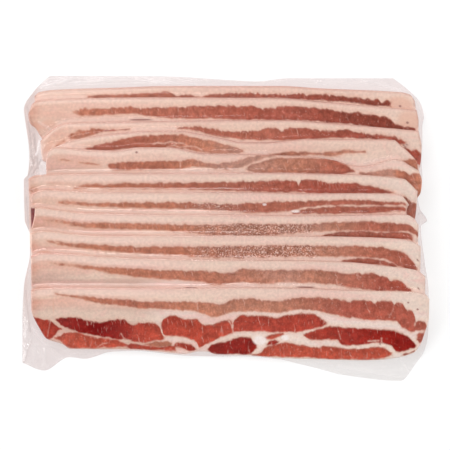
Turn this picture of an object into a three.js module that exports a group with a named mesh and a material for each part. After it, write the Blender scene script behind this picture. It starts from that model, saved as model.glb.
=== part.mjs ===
// A clear vacuum bag of pork belly slices, laid like roof tiles and lying flat.
// The film is drawn tight over the slices, so bag and contents are one solid with their outer form:
// a step at every slice's fat edge, a slope down the front slice, and thin film all round.
// Millimetres, +Z up. +X runs along the slices and +Y to the back of the pack, and the origin
// is the middle of the bag's footprint, on the surface that it lies on.
import * as THREE from "three";

// Driving dimensions of a slice
const SLICE_WIDTH = 45; // from the fat edge at the back to the lean edge at the front
const SLICE_THICKNESS = 4;
const EDGE_ROUND = 2; // how far the film takes to turn over a slice's edge
const EDGE_DROP = 1.4; // how much lower the film is at that edge than on the slice

// Places along the slices at which their edges are given
const STATIONS = [-120, -60, 0, 60, 120];

// Each slice from the back of the pack to the front: Y of its fat edge at the stations, and X of its two ends.
// The front slices lie on the ones behind, and the fourth is pushed up in an arch on the left.
const SLICES = [
  { fatEdge: [87, 89.5, 91, 90, 86.5], ends: [-121, 123] },
  { fatEdge: [81, 83, 83, 80.5, 76], ends: [-124, 122] },
  { fatEdge: [62, 67.5, 68.5, 67.5, 63], ends: [-121, 124.5] },
  { fatEdge: [53, 61.5, 58.5, 57.5, 49], ends: [-119, 122.5] },
  { fatEdge: [46, 50.5, 47.5, 45.5, 39], ends: [-117, 124] },
  { fatEdge: [33, 35.5, 35.5, 35, 28], ends: [-123.5, 121.5] },
  { fatEdge: [23.5, 23.5, 23.5, 22.5, 17.5], ends: [-123, 120] },
  { fatEdge: [13, 10.5, 9.5, 9, 5], ends: [-123, 122.5] },
  { fatEdge: [-1, -4, -4.5, -5, -9], ends: [-123.5, 124] },
  { fatEdge: [-14, -18, -20, -21.5, -27], ends: [-123.5, 127] },
  { fatEdge: [-35.5, -37, -37.5, -38, -41], ends: [-123.5, 129.3] },
];
const FRONT_EDGE = [-66, -78, -81, -83.5, -77]; // lean edge of the front slice, at the stations

// Outline of the sealed film, as X at a Y down each side and Y at an X along the back and the front.
// It hugs the slices in places and stands out as flat flaps in others, most of all at the front corners.
const FILM_LIP = 0.8; // the two films together, thickened to hold as a solid
const FOOT = 1.2; // how far beyond a slice's edge the film comes down to the surface
const HUG = 0.5; // least film beyond that
const LEFT_SEAM = [[-86, -130], [-72, -130], [-46, -129], [-20, -125], [-10, -125], [0, -128.5],
  [27, -129], [31, -126], [44, -124], [66, -128], [75, -129], [88, -122], [98, -112]];
const RIGHT_SEAM = [[-88, 123.5], [-68, 130], [-48, 130], [-27, 126], [-3, 124.5], [1, 129], [9, 124.5],
  [18, 122.5], [31, 125.5], [41, 124], [53, 126], [65, 125], [71, 127], [80, 125], [89, 118], [96, 107]];
const BACK_SEAM = [[-112, 97.6], [-40, 97.2], [0, 95], [20, 94], [40, 96], [107, 96]];
const FRONT_SEAM = [[-130, -86], [-116, -91], [-100, -82.5], [-90, -83.5], [-73, -79.5], [0, -83],
  [40, -85.5], [60, -90], [76, -94], [112, -98], [123.5, -88]];

const COLUMNS_ON_SLICE = 40;
const FACE_ROWS = 7; // rows of the mesh down the front slice's open face
const FILM_COLOUR = "#e3bfae"; // pale pink fat, seen through the film

// A smooth or straight line through points given as two lists.
function lineThrough(places, values, Interpolant = THREE.CubicInterpolant) {
  const line = new Interpolant(places, values, 1, new Float64Array(1));
  return (place) => line.evaluate(THREE.MathUtils.clamp(place, places[0], places.at(-1)))[0];
}

const seamThrough = (points) =>
  lineThrough(points.map((p) => p[0]), points.map((p) => p[1]), THREE.LinearInterpolant);

const leftSeam = seamThrough(LEFT_SEAM);
const rightSeam = seamThrough(RIGHT_SEAM);
const backSeam = seamThrough(BACK_SEAM);
const frontSeam = seamThrough(FRONT_SEAM);
const frontEdge = lineThrough(STATIONS, FRONT_EDGE);

// The stack, from the back: every slice lies with its fat edge on the slice behind and its lean edge on the
// surface. That gives the height of its fat edge, and the slope from there to the front, at any X.
function stackSlices() {
  const stack = [];
  for (const { fatEdge, ends } of SLICES) {
    const below = stack.at(-1);
    const edge = lineThrough(STATIONS, fatEdge);
    const crest = (x) => SLICE_THICKNESS + (below ? below.height(x, edge(x)) : 0);
    const slope = (x) => (crest(x) - SLICE_THICKNESS) / SLICE_WIDTH;
    const height = (x, y) => crest(x) - slope(x) * (edge(x) - y);
    stack.push({ edge, crest, height, ends });
  }
  return stack;
}

// Rows of the film's mesh from back to front. A row has the slice whose ends it follows, and Y and Z at an X.
function filmRows() {
  const stack = stackSlices();
  const first = stack[0];
  const last = stack.at(-1);
  const flat = () => FILM_LIP;
  const rows = [
    { slice: first, y: backSeam, z: flat, open: true },
    { slice: first, y: (x) => Math.min(first.edge(x) + FOOT, backSeam(x) - HUG), z: flat, open: true },
  ];
  stack.forEach((slice, index) => {
    const next = stack[index + 1];
    rows.push({ slice, y: slice.edge, z: (x) => slice.crest(x) - EDGE_DROP });
    rows.push({ slice, y: (x) => slice.edge(x) - EDGE_ROUND, z: (x) => slice.height(x, slice.edge(x) - EDGE_ROUND) });
    if (!next) return;
    const dip = (x) => next.edge(x) + FOOT;
    const middle = (x) => (slice.edge(x) - EDGE_ROUND + dip(x)) / 2;
    rows.push({ slice, y: middle, z: (x) => slice.height(x, middle(x)) });
    rows.push({ slice, y: dip, z: (x) => slice.height(x, dip(x)) });
  });
  const faceBack = (x) => last.edge(x) - EDGE_ROUND;
  const faceFront = (x) => frontEdge(x) + EDGE_ROUND;
  for (let row = 1; row <= FACE_ROWS; row++) {
    const y = (x) => THREE.MathUtils.lerp(faceBack(x), faceFront(x), row / FACE_ROWS);
    rows.push({ slice: last, y, z: (x) => last.height(x, y(x)) });
  }
  const frontFoot = (x) => Math.max(frontEdge(x) - FOOT, frontSeam(x) + HUG);
  rows.push({ slice: last, y: frontEdge, z: () => SLICE_THICKNESS - EDGE_DROP });
  rows.push({ slice: last, y: frontFoot, z: flat, open: true });
  rows.push({ slice: last, y: frontSeam, z: flat, open: true });
  return rows;
}

// One row as points from the left seam to the right. At each end the film comes off the slice, down to the surface
// and out to the seam. Rows in the open film have no slice under them and keep one height.
function rowPoints({ slice, y, z, open }) {
  const [left, right] = slice.ends;
  const seamLeft = leftSeam(y(left));
  const seamRight = rightSeam(y(right));
  const footLeft = Math.max(left - FOOT, seamLeft + HUG);
  const footRight = Math.min(right + FOOT, seamRight - HUG);
  const endLeft = Math.max(left, footLeft + HUG);
  const endRight = Math.min(right, footRight - HUG);
  const points = [];
  const add = (x, height) => points.push(new THREE.Vector3(x, y(x), height));
  add(seamLeft, FILM_LIP);
  add(footLeft, FILM_LIP);
  add(endLeft, open ? FILM_LIP : z(endLeft) - EDGE_DROP);
  for (let column = 0; column <= COLUMNS_ON_SLICE; column++) {
    const x = THREE.MathUtils.lerp(endLeft + EDGE_ROUND, endRight - EDGE_ROUND, column / COLUMNS_ON_SLICE);
    add(x, z(x));
  }
  add(endRight, open ? FILM_LIP : z(endRight) - EDGE_DROP);
  add(footRight, FILM_LIP);
  add(seamRight, FILM_LIP);
  return points;
}

// Closes the rows into a solid: the film on top, a low wall along the seam and a flat underside.
function solidUnder(rows) {
  const rowLength = rows[0].length;
  const lastRow = rows.length - 1;
  const at = (row, column) => row * rowLength + column;
  const positions = rows.flat().flatMap((p) => p.toArray());
  const faces = [];
  const quad = (a, b, c, d) => faces.push(a, b, c, a, c, d);
  for (let row = 0; row < lastRow; row++) {
    for (let column = 0; column < rowLength - 1; column++) {
      quad(at(row, column), at(row + 1, column), at(row + 1, column + 1), at(row, column + 1));
    }
  }

  const seam = [];
  for (let row = 0; row < lastRow; row++) seam.push(at(row, 0));
  for (let column = 0; column < rowLength - 1; column++) seam.push(at(lastRow, column));
  for (let row = lastRow; row > 0; row--) seam.push(at(row, rowLength - 1));
  for (let column = rowLength - 1; column > 0; column--) seam.push(at(0, column));

  const points = rows.flat();
  const underside = seam.map((index) => {
    positions.push(points[index].x, points[index].y, 0);
    return positions.length / 3 - 1;
  });
  seam.forEach((top, index) => {
    const next = (index + 1) % seam.length;
    quad(top, underside[index], underside[next], seam[next]);
  });
  const middle = positions.push(0, 0, 0) / 3 - 1;
  underside.forEach((corner, index) => {
    faces.push(middle, underside[(index + 1) % underside.length], corner);
  });

  const geometry = new THREE.BufferGeometry();
  geometry.setAttribute("position", new THREE.Float32BufferAttribute(positions, 3));
  geometry.setIndex(faces);
  geometry.computeVertexNormals();
  return geometry;
}

const sealedBag = new THREE.Mesh(
  solidUnder(filmRows().map(rowPoints)),
  new THREE.MeshStandardMaterial({ color: FILM_COLOUR, roughness: 0.25, metalness: 0 }),
);
sealedBag.name = "sealed_bag";

const pack = new THREE.Group();
pack.add(sealedBag);

export default pack;
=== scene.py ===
import bpy
import numpy as np
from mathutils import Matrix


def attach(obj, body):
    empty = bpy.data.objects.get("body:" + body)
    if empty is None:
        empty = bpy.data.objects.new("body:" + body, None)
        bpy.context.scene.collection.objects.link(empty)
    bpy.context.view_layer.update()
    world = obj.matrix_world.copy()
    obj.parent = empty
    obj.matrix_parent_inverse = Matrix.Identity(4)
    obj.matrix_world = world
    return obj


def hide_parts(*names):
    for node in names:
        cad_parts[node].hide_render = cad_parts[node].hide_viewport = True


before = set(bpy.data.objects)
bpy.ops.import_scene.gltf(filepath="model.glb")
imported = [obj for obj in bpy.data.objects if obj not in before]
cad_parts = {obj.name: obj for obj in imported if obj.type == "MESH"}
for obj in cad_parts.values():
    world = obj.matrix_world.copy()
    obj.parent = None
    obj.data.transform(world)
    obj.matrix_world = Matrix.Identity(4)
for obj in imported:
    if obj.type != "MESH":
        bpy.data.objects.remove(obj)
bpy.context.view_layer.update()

# Pork belly strips
# Eleven strips, sawn across a frozen side of belly. Each has thick fat along its back edge, a thin upper
# band of lean, and broad muscles towards its front edge. They lie like roof tiles, the front one on top, and
# the vacuum has pressed each of them on to the ones below.

MM = 0.001
STRIP_LENGTH = 250
STRIP_WIDTH = 45
STRIP_THICKNESS = 4
EDGE_RADIUS = 1.0
EDGE_TURN = 0.48  # share of the thickness by which either face turns in at the edge
LEAST_PRESSED = 0.5  # thickness that is left where a strip is pressed between two others
LEAN_HOLLOW = 0.12  # how far lean has sunk below the fat around it
FAR = 99.0  # millimetres, where nothing is near

# How red a muscle is, from pale frosted meat and meat browned in the air to the dark red of the
# deepest muscle.
PALE = 0.0
BROWNED = 0.1
DARK_BROWN = 0.42
BRIGHT = 0.58
RED = 0.72
DEEP = 0.86
DARK = 1.0

# Half the width of a line of fat in the lean: one that lies just under the surface, and one that comes
# to it.
FAINT = -0.2
THIN = 0.0

# The broad muscles near a strip's front edge: redness from the left end to the right, then (X, start, end)
# with both depths from the back edge.
LOWER_LEAN = [
    ((RED, 0.8),
     [(-123, 16.5, 17), (-120, 18.5, 24), (-118, 19.5, 28), (-116, 20.5, 31), (-113, 21, 33.5),
      (-111, 21.5, 32.5), (-109, 23, 31), (-107, 24.5, 28.5), (-104, 26.5, 27)]),
    ((0.9, DARK),
     [(-108, 20, 21), (-106, 19.5, 23), (-104, 19, 24.5), (-100, 18.9, 26.5), (-95, 18.8, 28.2),
      (-91, 20, 29.5), (-88, 21.7, 30), (-80, 22, 31.4), (-76, 22, 31.8)]),
    ((DARK, 0.78),
     [(-79, 22, 31.6), (-73, 21, 32.6), (-69, 20, 33), (-65, 20, 33.2), (-62, 22.5, 33.4),
      (-58, 24, 34.5)]),
    ((RED, 0.62),
     [(-60, 25.5, 34), (-58, 23.5, 35), (-50, 22, 35), (-45, 23, 34), (-42, 25, 33.5), (-41, 28, 33.5),
      (-39, 31.5, 33)]),
    ((0.52, 0.6),
     [(-109, 32, 33), (-106, 31.5, 34), (-103, 29.5, 37), (-98, 28.5, 39.2), (-90, 30, 39), (-82, 32, 38.8),
      (-73, 32.8, 38.4), (-68, 33.8, 38), (-64, 35.4, 37.8), (-62, 36.8, 37.4)]),
    ((0.22, 0.16), [(-52, 36, 36.5), (-48, 35, 37.4), (-43, 34.2, 38.2), (-38, 34, 38), (-34, 34.8, 37)]),
    ((RED, 0.62),
     [(-63, 36.8, 38), (-60, 35.8, 39.2), (-50, 36.8, 39.8), (-42, 37.5, 40), (-36, 36.5, 40.2),
      (-32, 37, 40)]),
    ((0.66, 0.82), [(-33, 36.5, 38), (-31, 34.5, 38), (-23, 36, 40), (-20, 37.5, 40), (-19, 39, 39.5)]),
    ((0.7, 0.64),
     [(-40.5, 22, 26), (-39.5, 19.8, 29.5), (-37, 18.2, 31), (-33, 17.3, 31), (-28, 19, 31),
      (-23, 20, 32.5), (-18, 20, 35), (-17, 21, 38), (-12, 23.5, 36), (-9, 23.5, 34.5), (-4, 22, 32),
      (2, 21, 30), (4.4, 21.6, 29)]),
    ((0.7, 0.76),
     [(5, 22.4, 28.4), (6, 20.6, 28.6), (12, 17, 28), (15, 18, 28), (24, 18, 28), (32, 19.5, 29),
      (36, 18, 28.5), (44, 16.5, 28.5), (51, 16, 27), (57, 17, 25.6), (61, 19, 24.8), (64.5, 21.5, 23.2)]),
    ((0.88, 0.91),
     [(-11, 39, 40), (-9, 36.5, 41.5), (-2, 34.8, 43.5), (2, 33.9, 43), (7, 32, 42.5), (12, 31.9, 43.5),
      (15.5, 31.8, 43), (18, 35, 41), (20, 37, 39)]),
    ((DEEP, DEEP), [(26.5, 36.5, 37), (28, 34.2, 37), (31, 33.2, 36.8), (34, 34.6, 35.6)]),
    ((BRIGHT, BRIGHT), [(25, 31.8, 33), (29, 30.4, 33), (33, 29.4, 31.8), (37, 29, 29.8)]),
    ((0.6, 0.62),
     [(17, 43.5, 44), (22, 42, 44.5), (25, 38.5, 44.5), (33, 36, 44.5), (38, 35, 44.5), (48, 36.5, 44.5),
      (60, 38, 45), (63, 36.6, 45), (82, 37.8, 44.7), (97, 36, 43.8), (102, 37, 42.8), (106, 39.5, 41)]),
    ((0.74, 0.96),
     [(50, 30, 30.5), (54, 27.6, 33), (60, 25.6, 33), (68, 23.8, 32.6), (71, 24, 32.8), (75, 24, 35.5),
      (82, 24, 35.5), (98, 24.5, 33), (106, 25, 35.5), (110, 26, 39.2), (115, 27.5, 38), (118, 30, 36.4),
      (120, 32, 36), (121.5, 34, 35)]),
]

# Each strip from the back of the pack: its back edge as (X, Y), its ends as (depth, X), how far its bundles
# of fibre widen to the right and how ragged they end, then its upper lean and thin streaks of lean, given
# like the muscles above. Lines of fat have half their width and points as (X, depth), and white spots,
# stains, and pores and painted shadows in the gaps at the foot of a step are ovals as (X, depth, half
# length, half height).
STRIPS = [{
    "back": [(-122, 84.5), (-119, 87), (-109, 88.5), (-67, 90), (-36, 91), (35, 91), (60, 89.5), (112, 87),
             (118, 85.5), (121, 81.5)],
    "left": [(0, -122), (8, -122), (22, -115), (30, -106)],
    "right": [(0, 121), (8, 122)],
    "lobes": 0.5,
    "scallops": 0.9,
    "lean": [
        ((0.2, 0.26, 0.4, 0.46),
         [(-88, 4.8, 5.9), (-70, 4.1, 6.8), (-59, 3.8, 7.3), (-47, 3.9, 7.5), (-39, 3.7, 7.8), (-33, 5, 8),
          (-30.5, 6.4, 7.6), (-28, 5.6, 8), (-22, 5.4, 8), (-18.5, 6.2, 7.8), (-15, 6.8, 7.2),
          (-11, 5.2, 8), (-4, 4.8, 8), (-2, 6, 7.8), (0, 5, 8), (8, 4.4, 8), (40, 5, 8), (60, 3.6, 8),
          (78, 4.2, 8.4), (90, 4, 9.2), (94, 6, 9.6), (97, 4.8, 9.8), (99.8, 7.6, 9.8), (102, 6, 10),
          (106, 6.6, 10)]),
    ],
    "stains": [(112, 8, 9, 5)],
    "pore_and_shadows": [(111.5, 9, 0.9, 0.7)],
}, {
    "back": [(-125, 77.5), (-120, 81.5), (-108, 82.5), (-48, 83.5), (35, 83), (60, 81), (98, 77.5),
             (122, 75.4)],
    "left": [(0, -123.5), (5, -125.8), (11, -124.6), (17, -121.3), (24, -117.4), (32, -108)],
    "right": [(0, 122), (6, 123.2)],
    "scallops": 0.75,
    "lean": [
        ((0.16, 0.27, 0.38, 0.42, 0.47),
         [(-97, 8.5, 9), (-91, 6.8, 11.5), (-64, 6.2, 10.5), (-32, 6.3, 13.5), (-16, 5, 13.5),
          (17, 5.2, 14), (24, 6.3, 14), (31, 6.3, 14), (36, 4.8, 14), (60, 4.3, 13), (74, 4.5, 13),
          (77, 5.6, 13), (88, 4.8, 13), (97, 5.2, 13.5), (103, 6.4, 13.5), (108, 9.8, 13.8),
          (121, 11.6, 13.2)]),
    ],
    "stains": [(-121, 16.5, 3.5, 3.5), (-113, 16, 5, 3), (117, 7, 7, 6)],
    # The first oval is a painted shadow in the gap at the foot of the next strip's step.
    "pore_and_shadows": [(-54, 14.3, 7, 0.6), (116, 8.6, 0.8, 0.8)],
}, {
    "back": [(-118, 55.5), (-113, 60.5), (-109, 64), (-102, 67), (-89, 67.5), (35, 69), (73, 66.5),
             (98, 64.3), (124, 62)],
    "left": [(0, -118), (12, -117), (20, -112), (28, -103)],
    "right": [(0, 123), (10, 125), (20, 124.5), (30, 120)],
    "scallops": 0.9,
    "lean": [
        ((0.12, 0.25),
         [(-101, 8.5, 9.5), (-97, 6.2, 10.5), (-93, 5.2, 10.5), (-87, 4.5, 9), (-81, 4.4, 7),
          (-77, 4.8, 6)]),
        ((0.27, 0.3, 0.4, 0.44),
         [(-30, 4.5, 5), (-23, 3.5, 6), (-7, 5.5, 9.5), (2, 7, 11), (20, 6.8, 13), (29, 5, 13),
          (34.5, 5.6, 13), (36, 7.4, 13), (37.5, 5.8, 13), (48, 4.5, 12.2), (67, 4.9, 9.7), (78, 3.7, 8.7),
          (90, 4.6, 8.2), (105, 4.6, 7.8), (112, 5.8, 10), (115, 8, 9)]),
        ((0.5, 0.5), [(113, 11.5, 12.5), (117, 12, 16), (121, 12.5, 20), (126, 14.5, 23)]),
    ],
    "streaks": [
        ((0.2, 0.15), [(-109, 12.8, 13.3), (-106, 11.7, 12.8), (-103, 11, 11.6)]),
        ((DARK_BROWN, 0.3), [(-80, 5, 6.2), (-71, 5, 5.8), (-61, 4.8, 5.1)]),
    ],
    "stains": [(-107.5, 7, 1.2, 0.9), (-112.5, 8.5, 3.5, 3), (-105, 11.5, 4, 3)],
    "pore_and_shadows": [(113.5, 10, 0.7, 0.5), (115.5, 9.5, 0.7, 0.5), (114.5, 11, 0.7, 0.5)],
}, {
    "back": [(-109, 51.5), (-97, 56), (-81, 59), (-68, 60.5), (-48, 62), (-31, 62), (-12, 59.2), (0, 56.8),
             (10, 54.8), (22, 54.6), (54, 56.8), (107, 56.2), (111, 53.2), (117, 48), (122, 42.5)],
    "left": [(0, -109), (12, -106), (24, -98)],
    "right": [(0, 122), (12, 123), (24, 121), (36, 116)],
    "lean": [
        ((0.34, 0.24, PALE),
         [(-90, 7, 7.5), (-80, 6, 10), (-68, 4, 10.5), (-36, 2.3, 11.3), (-10, 3, 11), (2, 3.4, 8.5),
          (8, 4, 7.5), (11, 5.5, 6)]),
        ((BROWNED, BROWNED),
         [(28, 7.6, 8.2), (34, 7.2, 9.3), (50, 7.7, 10.4), (58, 8.6, 10.2), (68, 8, 10.9), (77, 6.7, 9.2),
          (83, 7.6, 8.6), (89, 7.6, 8.2)]),
        ((0.14, 0.16, 0.18),
         [(112.5, 8.5, 10), (114.5, 6.5, 11), (117.5, 3.5, 13), (119.5, 1.2, 15), (121, -0.5, 16),
          (124, -0.5, 20)]),
    ],
    "fat_lines": [
        (0.2,
         [(-46, 8.5), (-43, 7.5), (-39, 8.1), (-35.5, 6.9), (-31, 7.9), (-27, 7.8), (-24, 9.2), (-19, 8.7),
          (-15, 10)]),
        (0.2, [(-31, 7.9), (-33, 9.2), (-29, 10.6), (-24, 9.2)]),
        (0.2, [(-37, 10.3), (-33, 9.2)]),
    ],
}, {
    "back": [(-114, 46), (-112, 49.5), (-108, 51.5), (-87, 50), (-71, 49.5), (-55, 51.5), (-36, 51.5),
             (-12, 47.5), (19, 47), (54, 45.5), (70, 43), (80, 40), (89, 39.5), (100, 42.5), (107, 44),
             (112, 43), (117, 40), (124, 36)],
    "left": [(0, -114), (14, -114), (24, -106)],
    "right": [(0, 123), (6, 125), (12, 124.5), (20, 121), (30, 116)],
    "lean": [
        ((0.22, 0.2, PALE, PALE),
         [(-75, 9, 11), (-72, 7.7, 12.2), (-55, 8.5, 14.2), (-42, 8.8, 14.2), (-30, 8.2, 13.6),
          (-20, 5, 9.5), (-12, 5.8, 9), (-6, 6.2, 9.8), (0, 5.4, 10.2), (9, 3.5, 8.8), (18, 1, 5),
          (27, -0.3, 1.9), (32, -0.5, 1.2)]),
        ((PALE, PALE, PALE, 0.24, 0.12),
         [(85, 3.5, 5.5), (96, 5, 8.5), (108, 6.2, 11.5), (117, 6, 16), (120, 3, 17), (125, 1, 18)]),
    ],
    "streaks": [
        ((BROWNED, BROWNED), [(-106, 7.6, 8), (-101, 7.6, 8.3), (-97, 8, 8.3)]),
        ((BROWNED, BROWNED), [(-93, 8, 9), (-88, 8.3, 9.4), (-80, 9, 9.6)]),
        ((0.02, 0.14, 0.4),
         [(13, 9.5, 10), (16, 7, 11), (21, 5, 11.5), (35, 1.5, 11.2), (54, 1, 10.6), (70, -0.5, 8.8),
          (77, 0.5, 6), (82, 3, 4)]),
    ],
    "fat_lines": [
        (0.3, [(15.5, 6.6), (23.5, 3.2), (35, 1.2), (54, 0.2)]),
        (THIN, [(-28.7, 8), (-28.7, 13.5)]),
    ],
    "pore_and_shadows": [(-56.5, 3.2, 0.8, 0.7)],
}, {
    "back": [(-125, 31.5), (-121, 33.5), (-109, 34.5), (-48, 35), (35, 35.4), (55, 34.9), (79, 34.3),
             (113, 31.5), (117, 28.6), (122, 23.5)],
    "left": [(0, -125)],
    "right": [(0, 122), (10, 121.5), (18, 120.8), (26, 117)],
    "lean": [
        ((BROWNED, 0.2, 0.3, 0.42, 0.42),
         [(-96, 9, 9.5), (-89, 7, 9.5), (-82, 6.5, 9), (-78, 7, 10), (-64, 6, 10), (-36, 6, 10),
          (0, 6, 11.5), (38, 5, 12.5), (45, 5, 12), (46.5, 7.2, 12), (48, 4.4, 12), (56, 3.8, 12.5),
          (60, 4, 12.5), (63, 5.4, 12.5), (80, 5.6, 12.3), (90, 6.8, 11.8), (102, 8.5, 10.8),
          (107, 9.3, 10)]),
        ((0.26, 0.28), [(113, 11.5, 13), (115.5, 10.6, 22), (118, 9.8, 24), (122, 8, 26)]),
        ((0.3, 0.34), [(-125, 7, 7.6), (-123, 7, 10), (-120, 8.4, 9.4)]),
    ],
}, {
    "back": [(-123, 22), (-118, 24), (-114, 24.8), (-98, 24), (-82, 23), (20, 22.8), (55, 22.2), (79, 22.3),
             (107, 22), (111, 21.5), (114, 18.5), (116.5, 15)],
    "left": [(0, -123), (10, -123.6)],
    "right": [(0, 116.7), (3, 115.5), (8, 115), (20, 114)],
    "lean": [
        ((BROWNED, 0.14, 0.25, 0.3, 0.36),
         [(-106, 7.5, 8.5), (-98, 6.5, 9), (-90, 7, 9), (-61, 6.5, 10), (-13, 6.5, 11), (3, 7.5, 12),
          (16, 6.4, 13), (36, 5.4, 12.2), (41, 5, 11.2), (60, 4.5, 8), (80, 4, 7.5), (99, 4.8, 7.5),
          (110, 5, 7), (114.5, 2.2, 3.6)]),
        ((DARK, DARK), [(-126, 8.5, 21), (-123, 8.8, 24), (-120, 10.5, 13)]),
    ],
    "streaks": [
        ((0.3, 0.36),
         [(43, 12, 13), (55, 9.2, 13), (73, 8.2, 13), (92, 8.2, 12.5), (110, 7.6, 11), (114.8, 4.6, 7)]),
    ],
    "white_spots": [(44.5, 11.5, 2.6, 0.9), (24.8, 7.6, 1.2, 0.8)],
}, {
    "back": [(-121.5, 12.3), (-119, 13.4), (-104, 11.6), (-89, 9.9), (-36, 8.9), (0, 8.7), (55, 8),
             (110, 8.8), (115, 8.6), (120, 5.8), (122, 2.5)],
    "left": [(0, -120.8), (4, -121.2), (13, -123.6)],
    "right": [(0, 122.5)],
    "lean": [
        ((BROWNED, 0.11, 0.12, 0.11, 0.1, 0.08, 0.06, 0.3, 0.3),
         [(-114, 7.5, 8.5), (-107, 6.5, 9), (-87, 6, 9.5), (-55, 6, 10), (-23, 6.5, 11.5), (-4, 6, 13.5),
          (12, 5.5, 14), (48, 5.5, 11), (67, 4.5, 10), (86, 4, 10), (105, 5, 11), (118, 6, 10),
          (122.5, 5, 8)]),
    ],
    "streaks": [
        ((0.3, 0.36),
         [(57, 13.5, 14), (73, 10.3, 14.5), (89, 10.3, 15), (105, 11.3, 16), (119, 11.3, 15.5)]),
    ],
    "stains": [(-118, 12.5, 4, 0.7)],
}, {
    "back": [(-124, -3), (-116, -1.5), (-98, -3.5), (-82, -4.5), (0, -4.5), (62, -5), (92, -5.7),
             (112, -6.8), (119, -8.5), (124, -11.5)],
    "left": [(0, -123.5)],
    "right": [(0, 124)],
    "lobes": 0.8,
    "lean": [
        ((BROWNED, 0.16, 0.16, 0.12, 0.4),
         [(-113, 6.3, 6.8), (-106, 5.8, 8), (-84, 5.7, 9), (-69, 6.5, 10.5), (-32, 7, 12.5), (-13, 7, 14),
          (10, 6.5, 14.2), (28, 6, 13.6), (80, 6, 12.8), (92, 5.6, 13), (100, 6.1, 13.4),
          (110.5, 7.7, 17.4), (116, 10, 18.8), (119, 12.3, 19), (121.5, 14.8, 18)]),
    ],
    "streaks": [
        ((0.3, 0.4),
         [(74, 15.3, 16), (84, 13.3, 17), (92, 13.6, 17.5), (100, 14.2, 17.6), (109, 17.2, 18.2)]),
    ],
    "stains": [(-115.5, 13.2, 4, 0.8)],
    "pore_and_shadows": [(122, 10, 0.7, 0.6)],
}, {
    "back": [(-124, -18), (-116, -15.5), (-101, -16), (-76, -18), (-48, -19), (0, -20), (54, -20.5),
             (79, -21.5), (105, -24.2), (121, -26.5), (127, -30.5)],
    "left": [(0, -123.5), (32, -123.5), (42, -113)],
    "right": [(0, 127), (28, 127), (40, 118)],
    "lobes": 1.0,
    "lean": [
        ((BROWNED, 0.12, 0.18, 0.16, 0.04, 0.26, 0.55),
         [(-112, 6, 6.3), (-107, 6.5, 7.5), (-84, 6.5, 9), (-69, 6.5, 11), (-32, 7.5, 13.5), (-16, 6.8, 14),
          (-7, 7.5, 16), (2, 8.8, 15.5), (11, 5, 14), (22, 6.5, 15), (41, 6, 14), (64, 6, 14.5),
          (76, 7, 16), (85, 6.5, 16.5), (86.7, 7.7, 16.5), (89, 6, 16.5), (96, 6, 16.5), (103, 7.5, 16),
          (104.8, 9.4, 15.8), (107, 8, 15.5), (112, 9, 15), (116, 12.5, 14.5), (118, 13.4, 14)]),
    ],
    "stains": [(-117, 20.3, 4, 0.8)],
    # The first two ovals are painted shadows in the gap at the foot of the front strip's step.
    "pore_and_shadows": [(-22, 18.3, 4, 0.4), (51, 17, 6, 0.45), (122.5, 11, 0.7, 0.6)],
}, {
    "back": [(-124, -39.5), (-119, -38), (-108, -37.5), (-16, -38), (12, -37.5), (54, -38), (79, -39.2),
             (121, -40.4), (127, -42), (130, -45.5)],
    "front": [(-124, -51), (-122, -57), (-119, -63), (-114, -70.5), (-104, -74), (-99, -77), (-58, -77.5),
              (-36, -79.5), (-26, -80.5), (-18, -78.8), (-12, -78.8), (-6, -80.6), (12, -81), (35, -83),
              (70, -84), (85, -84.4), (100, -84), (110, -82.6), (120, -79.6), (124, -75), (127, -66.5),
              (130, -56)],
    "left": [(0, -123.5)],
    "right": [(0, 129.5)],
    "lobes": 1.0,
    "lean": [
        ((BROWNED, 0.24, 0.12, 0.12, 0.43, 0.43),
         [(-108, 4, 4.5), (-94, 5, 7), (-80, 6.5, 10), (-62, 7.5, 12), (-53, 8.5, 13), (-29, 8.5, 14),
          (-19, 9, 15), (-12, 9.5, 17), (-8, 10, 18.5), (-2, 10, 17.5), (4, 8, 16), (11, 7, 15),
          (32, 8.5, 16), (50, 6, 13.5), (69, 6, 16.5), (76, 6.5, 17), (78, 7.1, 17.5), (80, 6.5, 17.5),
          (92, 6, 19), (94.5, 8.2, 19), (97, 6, 18.5), (105.5, 6.8, 19), (107.2, 9, 19.2),
          (108.6, 7.6, 19.5), (112, 7.6, 22.4), (115.4, 11, 24.8), (116.6, 11.4, 25.2), (118.4, 11.8, 25.8),
          (120.5, 16, 25.4), (121.3, 18.6, 24.5), (122.6, 17.2, 24.5), (126, 17, 24), (128, 18.6, 22)]),
        ((0.46, 0.46), [(122.2, 27.5, 30.5), (123.5, 25.7, 32), (125.5, 25, 30), (127, 24.6, 26.5)]),
    ],
    "streaks": [
        ((DEEP, DEEP), [(113.5, 40.3, 41), (117, 39.2, 40), (120.5, 37.6, 38.2)]),
    ],
    "fat_lines": [
        (FAINT, [(-111.5, 21.5), (-113.5, 31)]),
        (THIN, [(-66.5, 29.5), (-65, 32), (-60.5, 34.5)]),
        (THIN, [(-82, 38.5), (-78.5, 36), (-75, 35.5)]),
        (THIN, [(-88.5, 19), (-87.8, 24)]),
        (THIN, [(-84.5, 20), (-85.5, 23.5)]),
        (FAINT, [(-22, 19), (-21, 23.5)]),
        (FAINT, [(-15, 19.5), (-14.5, 28.5)]),
        (0.2, [(2, 21), (4, 24.5), (5, 29)]),
        (FAINT, [(71, 24), (73.5, 32)]),
        (FAINT, [(74, 37.5), (74, 44)]),
        (0.3, [(91, 32.5), (97.5, 32)]),
        (0.2, [(99.5, 30.5), (99.5, 33)]),
        (FAINT, [(-71.5, 7), (-72, 11.5)]),
        (FAINT, [(-62.5, 7), (-63.5, 12)]),
        (THIN, [(-18, 8), (-17.5, 15)]),
        (FAINT, [(107.5, 6.5), (106.5, 12), (103.5, 17.5)]),
        (0.2, [(121.5, 16), (120.5, 21.5)]),
        (0.35, [(122.5, 25.5), (127.5, 23)]),
    ],
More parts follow.
